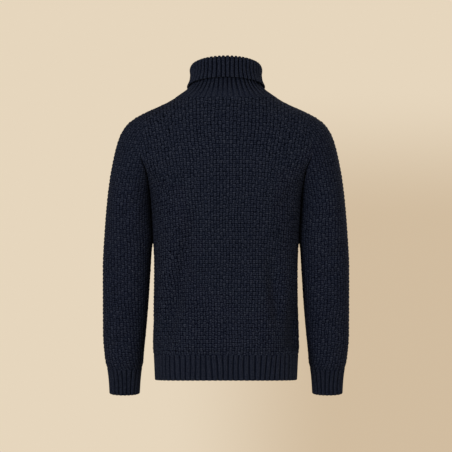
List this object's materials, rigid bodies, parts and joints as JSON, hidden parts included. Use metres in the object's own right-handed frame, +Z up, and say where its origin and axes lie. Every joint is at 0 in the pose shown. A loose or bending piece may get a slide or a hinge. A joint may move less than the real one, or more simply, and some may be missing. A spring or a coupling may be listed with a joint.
{
  "type": "roll-neck sweater",
  "caption": "Long-sleeved roll-neck sweater in basket knit with rib collar, hem and cuffs, filled out as worn and hollow, open at neck, hem and cuffs.",
  "frame": {"origin": "middle of the neck base, level with the tops of the shoulders, where the wearer's shoulders carry the garment", "axes": "+Z up, towards the collar; +Y the way the wearer faces, so the back is at -Y; +X towards the wearer's right sleeve"},
  "size_m": [0.594, 0.245, 0.8146],
  "materials": {
    "basket_knit": "matt wool yarn in a two-stitch basket knit, near-black navy",
    "rib_knit": "matt wool yarn in two-and-two rib, near-black navy"
  },
  "bodies": {
    "root": {"back": "basket_knit", "front": "basket_knit", "sleeve_left": "basket_knit", "sleeve_right": "basket_knit", "hem_rib_back": "rib_knit", "hem_rib_front": "rib_knit", "cuff_left": "rib_knit", "cuff_right": "rib_knit", "collar": "rib_knit"}
  },
  "joints": []
}
